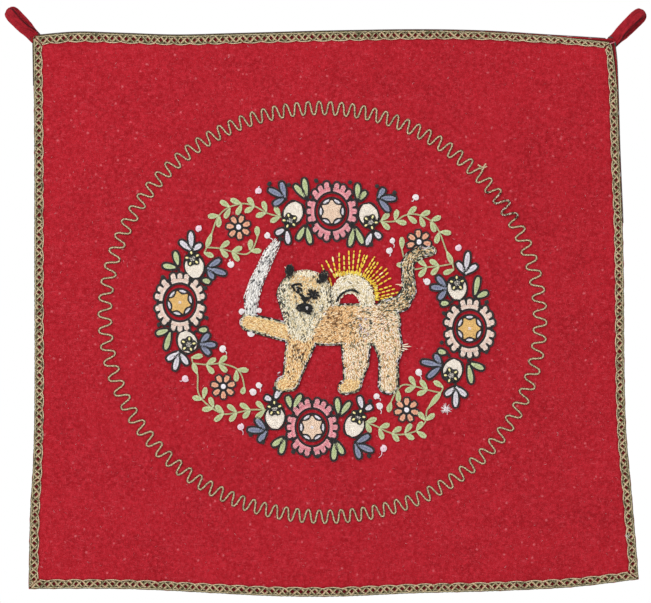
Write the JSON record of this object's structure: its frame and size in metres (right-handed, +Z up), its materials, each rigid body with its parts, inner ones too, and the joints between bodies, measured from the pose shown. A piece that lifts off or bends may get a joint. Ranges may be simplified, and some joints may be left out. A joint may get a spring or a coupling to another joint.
{
  "type": "embroidered wall hanging",
  "caption": "Red wool wall panel edged with metal lace, hung by two corner loops, worked with a couched oval, a flower wreath and a pile lion with sun and sword.",
  "frame": {"origin": "middle of the cloth's top edge, at mid thickness", "axes": "+X to the right along the top edge as seen from the front, +Y away from the viewer into the wall, +Z up; the worked face looks towards -Y"},
  "size_m": [0.6428, 0.0201, 0.5907],
  "materials": {
    "red_wool": "milled wool cloth with a short felted nap",
    "metal_lace": "narrow metal-thread lace, dull gold over a beige core",
    "loop_cloth": "doubled wool tape",
    "metal_cord": "couched metal-wrapped cord, dull gold",
    "pink_silk": "chain-stitched silk floss with black outline stitches",
    "peach_silk": "chain-stitched silk floss with black outline stitches",
    "cream_silk": "close chain-stitched silk floss with black outline stitches",
    "green_silk": "chain-stitched silk floss",
    "orange_silk": "chain-stitched silk floss with black outline stitches",
    "lion_pile": "short clipped silk and wool pile",
    "mane_pile": "short looped pile with dark flecks",
    "sun_pile": "short clipped pile",
    "blade_pile": "short white pile"
  },
  "bodies": {
    "root": {"cloth": "red_wool", "braid_top": "metal_lace", "braid_bottom": "metal_lace", "braid_left": "metal_lace", "braid_right": "metal_lace", "loop_left": "loop_cloth", "loop_right": "loop_cloth", "meander_cord": "metal_cord", "medallion_top": "pink_silk", "medallion_bottom": "pink_silk", "medallion_left": "peach_silk", "medallion_right": "peach_silk", "bud_side_upper_left": "cream_silk", "bud_top_upper_left": "cream_silk", "blossom_upper_left": "orange_silk", "vine_upper_left": "green_silk", "bud_side_upper_right": "cream_silk", "bud_top_upper_right": "cream_silk", "blossom_upper_right": "orange_silk", "vine_upper_right": "green_silk", "bud_side_lower_left": "cream_silk", "bud_top_lower_left": "cream_silk", "blossom_lower_left": "orange_silk", "vine_lower_left": "green_silk", "bud_side_lower_right": "cream_silk", "bud_top_lower_right": "cream_silk", "blossom_lower_right": "orange_silk", "vine_lower_right": "green_silk", "lion_body": "lion_pile", "lion_mane": "mane_pile", "sun_arch": "sun_pile", "sword": "blade_pile"}
  },
  "joints": []
}
